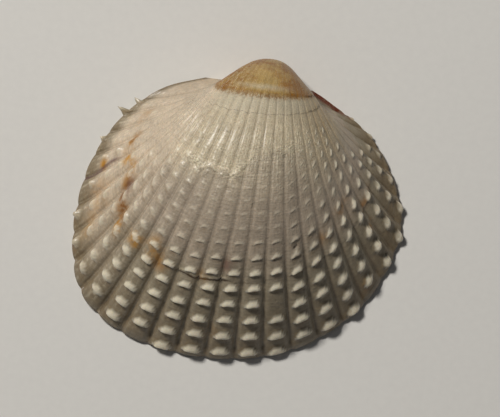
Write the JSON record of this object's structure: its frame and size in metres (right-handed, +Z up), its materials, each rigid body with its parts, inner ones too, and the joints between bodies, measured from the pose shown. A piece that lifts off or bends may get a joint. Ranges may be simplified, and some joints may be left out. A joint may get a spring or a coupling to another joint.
{
  "type": "cockle shell",
  "caption": "Small cockle valve, domed and ribbed, with white papillae along the ribs, an orange-tan umbo, a crenulated rim and a smooth hollow inside.",
  "frame": {"origin": "centre of the valve's footprint on the plane that the rim rests on", "axes": "+X along the hinge line towards the front of the shell, +Y from the ventral margin to the beak, +Z up through the dome"},
  "size_m": [0.015, 0.0138, 0.0049],
  "materials": {
    "shell": "satin shell, worn and faintly glossy on the crests"
  },
  "bodies": {
    "root": {"valve": "shell"}
  },
  "joints": []
}
